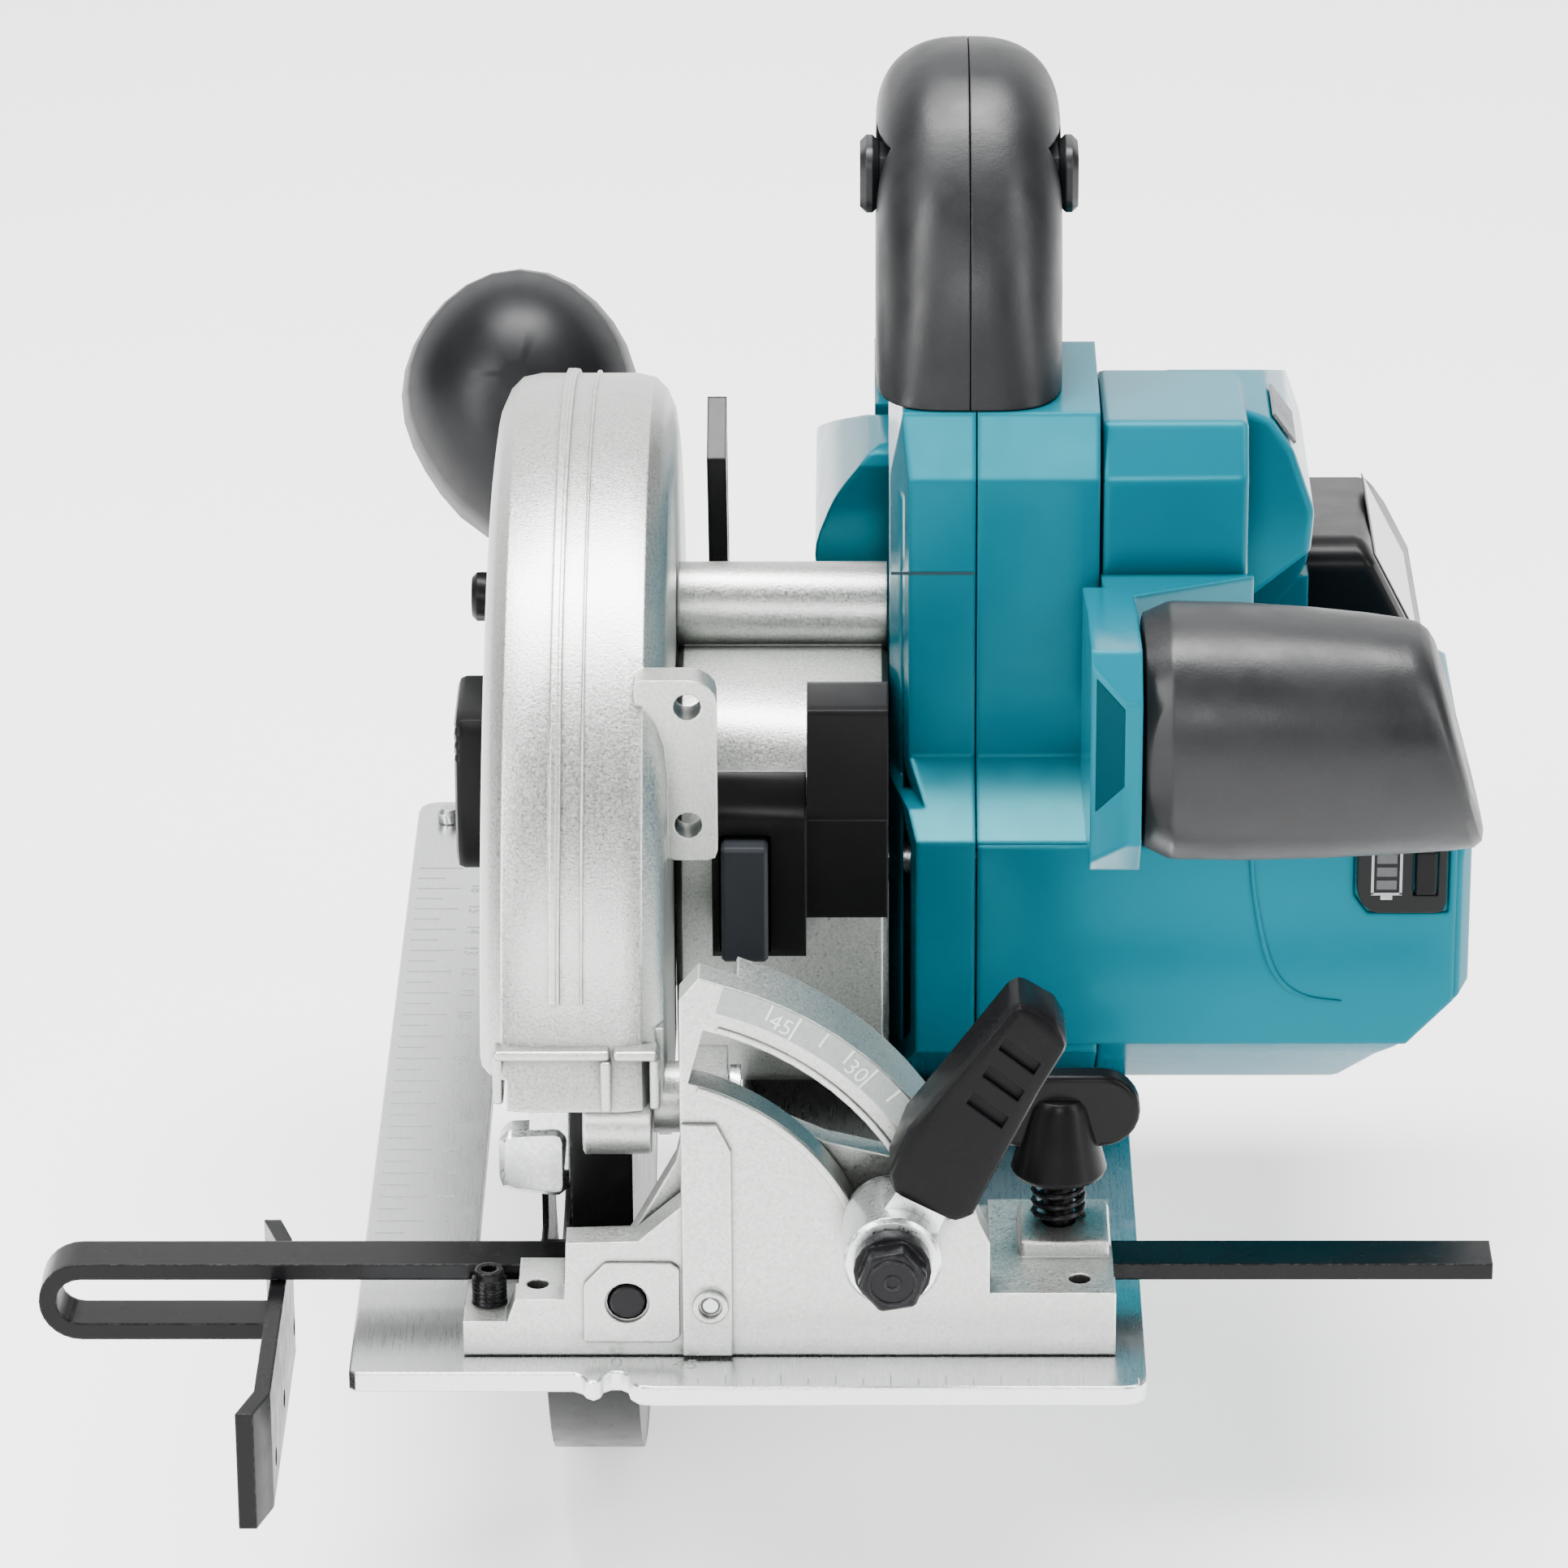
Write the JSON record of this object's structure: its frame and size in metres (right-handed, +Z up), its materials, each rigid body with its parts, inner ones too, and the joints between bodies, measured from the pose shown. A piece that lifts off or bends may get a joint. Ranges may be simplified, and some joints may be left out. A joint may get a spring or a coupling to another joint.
{
  "type": "cordless circular saw",
  "caption": "Cordless circular saw with tilting head, depth arm, sprung blade guard, sliding rip fence, bevel quadrant and a removable battery pack.",
  "frame": {"origin": "on the underside of the base plate, at the middle of its length and width", "axes": "+Z up from the work, the saw cuts toward -Y, +X toward the motor side; the blade lies across X"},
  "size_m": [0.2685, 0.3187, 0.2715],
  "materials": {
    "teal_housing": "glossy moulded housing",
    "soft_grip": "satin overmoulded grip",
    "black_plastic": "semi-matte",
    "cast_metal": "fine sand-cast, silver paint",
    "mill_aluminium": "rolled",
    "bright_steel": "machined",
    "black_steel": "semi-gloss black",
    "copper_windings": "enamelled wire",
    "red_plastic": "satin",
    "clear_lens": "clear"
  },
  "bodies": {
    "base": {"base_plate": "mill_aluminium", "quadrant_bracket": "cast_metal", "rear_bracket": "cast_metal", "front_pivot_pin": "black_steel", "rear_pivot_pin": "black_steel", "stop_screw": "black_steel", "column_rivet": "bright_steel", "corner_rivet": "bright_steel", "clamp_spring": "bright_steel"},
    "fence": {"rip_fence": "black_steel"},
    "clamp_screw": {"wing_screw": "black_plastic"},
    "bevel_frame": {"angular_plate": "cast_metal", "bevel_bolt": "black_steel", "bevel_washer": "bright_steel", "depth_guide": "black_steel", "depth_shaft": "bright_steel"},
    "bevel_clamp": {"bevel_lever": "bright_steel", "lever_grip": "soft_grip"},
    "head": {"blade_case": "cast_metal", "gear_housing": "cast_metal", "dust_nozzle": "black_plastic", "nozzle_screw": "black_plastic", "side_bumper": "soft_grip", "lamp_block": "black_plastic", "lamp_lens": "clear_lens", "lamp_cover": "black_plastic", "housing_left": "teal_housing", "housing_right": "teal_housing", "motor_housing": "teal_housing", "control_housing": "teal_housing", "rating_plate": "black_plastic", "battery_housing": "teal_housing", "handle_left": "soft_grip", "handle_right": "soft_grip", "front_grip": "soft_grip", "grip_arm": "teal_housing", "gauge_panel": "black_plastic", "depth_stud": "bright_steel", "stator": "copper_windings"},
    "depth_clamp": {"depth_lever": "black_plastic"},
    "shaft_lock_button": {"shaft_lock": "black_plastic"},
    "arbor": {"saw_blade": "bright_steel", "inner_flange": "bright_steel", "outer_flange": "bright_steel", "blade_bolt": "black_steel", "spindle": "bright_steel", "spindle_gear": "bright_steel"},
    "motor_shaft": {"rotor": "bright_steel", "fan": "black_plastic"},
    "guard": {"lower_guard": "black_steel", "guard_lever": "bright_steel"},
    "trigger_body": {"trigger": "black_plastic"},
    "lock_off": {"lock_off_button": "soft_grip"},
    "gauge_check": {"gauge_button": "black_plastic"},
    "battery_pack": {"battery": "black_plastic"},
    "battery_latch": {"battery_release": "red_plastic"}
  },
  "joints": [
    {"name": "fence_slide", "type": "slide", "parent": "base", "child": "fence", "axis": [1, 0, 0], "range_m": [-0.06, 0.012]},
    {"name": "clamp_screw_turn", "type": "hinge", "parent": "base", "child": "clamp_screw", "pos_m": [0.057, -0.0947, 0.03], "axis": [0, 0, 1], "range_deg": [0, 540]},
    {"name": "bevel_tilt", "type": "hinge", "parent": "base", "child": "bevel_frame", "pos_m": [-0.022, 0, 0.0153], "axis": [0, -1, 0], "range_deg": [0, 50]},
    {"name": "bevel_lever_turn", "type": "hinge", "parent": "bevel_frame", "child": "bevel_clamp", "pos_m": [0.0262, -0.13, 0.0326], "axis": [0, -1, 0], "range_deg": [0, 60]},
    {"name": "depth_tilt", "type": "hinge", "parent": "bevel_frame", "child": "head", "pos_m": [-0.0152, -0.092, 0.044], "axis": [1, 0, 0], "range_deg": [0, 35]},
    {"name": "depth_lever_turn", "type": "hinge", "parent": "head", "child": "depth_clamp", "pos_m": [0, 0.0656, 0.0162], "axis": [1, 0, 0], "range_deg": [0, 40]},
    {"name": "shaft_lock_press", "type": "slide", "parent": "head", "child": "shaft_lock_button", "axis": [0, 1, 0], "range_m": [0, 0.003], "stiffness_N_per_m": 800, "springref_m": -0.002},
    {"name": "blade_spin", "type": "hinge", "parent": "head", "child": "arbor", "pos_m": [-0.031, 0.008, 0.027], "axis": [-1, 0, 0], "continuous": true},
    {"name": "rotor_spin", "type": "hinge", "parent": "head", "child": "motor_shaft", "pos_m": [0.08, 0.01, 0.046], "axis": [-1, 0, 0], "continuous": true},
    {"name": "guard_swing", "type": "hinge", "parent": "head", "child": "guard", "pos_m": [-0.031, 0.008, 0.027], "axis": [1, 0, 0], "range_deg": [0, 95], "stiffness_Nm_per_rad": 0.2, "springref_deg": -68.75},
    {"name": "trigger_pull", "type": "hinge", "parent": "head", "child": "trigger_body", "pos_m": [0.0414, 0.068, 0.1705], "axis": [-1, 0, 0], "range_deg": [0, 10], "stiffness_Nm_per_rad": 1.5, "springref_deg": -8.59},
    {"name": "lock_off_slide", "type": "slide", "parent": "head", "child": "lock_off", "axis": [1, 0, 0], "range_m": [-0.0024, 0.0024], "stiffness_N_per_m": 600},
    {"name": "gauge_button_press", "type": "slide", "parent": "head", "child": "gauge_check", "axis": [0, 1, 0], "range_m": [0, 0.0006], "stiffness_N_per_m": 1500, "springref_m": -0.0006},
    {"name": "battery_slide", "type": "slide", "parent": "head", "child": "battery_pack", "axis": [1, 0, 0], "range_m": [0, 0.12]},
    {"name": "battery_release_press", "type": "slide", "parent": "battery_pack", "child": "battery_latch", "axis": [-1, 0, 0], "range_m": [0, 0.003], "stiffness_N_per_m": 900, "springref_m": -0.002}
  ],
  "couplings": [
    {"joint": "rotor_spin", "follows": "blade_spin", "ratio": -4}
  ]
}
